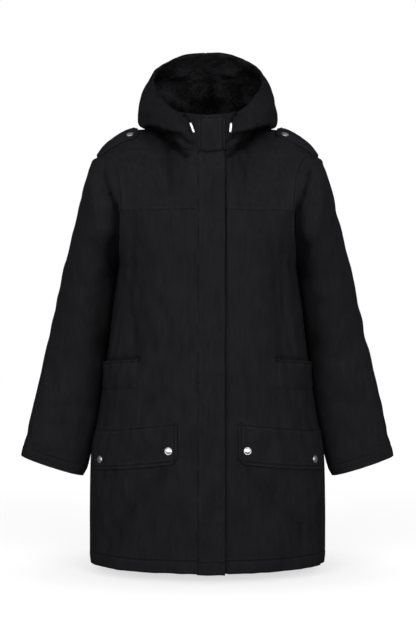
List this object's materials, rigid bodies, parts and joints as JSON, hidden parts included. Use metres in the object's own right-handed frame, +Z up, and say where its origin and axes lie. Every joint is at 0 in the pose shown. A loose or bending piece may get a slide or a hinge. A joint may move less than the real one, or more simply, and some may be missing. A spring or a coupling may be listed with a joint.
{
  "type": "hooded parka",
  "caption": "Long matt black hooded parka, filled out as if worn, with storm flap, side patch pockets, snapped pocket flaps and shoulder straps.",
  "frame": {"origin": "base of the neck, midway between the shoulders, where the wearer holds the coat up", "axes": "+Z up, front of the coat towards -Y, +X towards the wearer's left"},
  "size_m": [0.767, 0.3102, 1.054],
  "materials": {
    "cloth": "matt black woven cloth, slightly peached",
    "plush": "black plush pile",
    "cord": "black braided round cord",
    "silver": "satin silver plating"
  },
  "bodies": {
    "root": {"front_right": "cloth", "front_left": "cloth", "yoke_right": "cloth", "yoke_left": "cloth", "back": "cloth", "sleeve_right": "cloth", "sleeve_left": "cloth", "hood_right": "cloth", "hood_left": "cloth", "hood_lining": "plush", "storm_flap": "cloth", "storm_flap_collar": "cloth", "shoulder_strap_right": "cloth", "shoulder_strap_left": "cloth", "pocket_flap_right": "cloth", "pocket_flap_left": "cloth", "hand_pocket_right": "cloth", "hand_pocket_left": "cloth", "snap_right_outer": "silver", "snap_right_inner": "silver", "snap_left_inner": "silver", "snap_left_outer": "silver", "snap_strap_right": "silver", "snap_strap_left": "silver", "cord_right": "cord", "cord_left": "cord", "cord_tip_right": "silver", "cord_tip_left": "silver"}
  },
  "joints": []
}
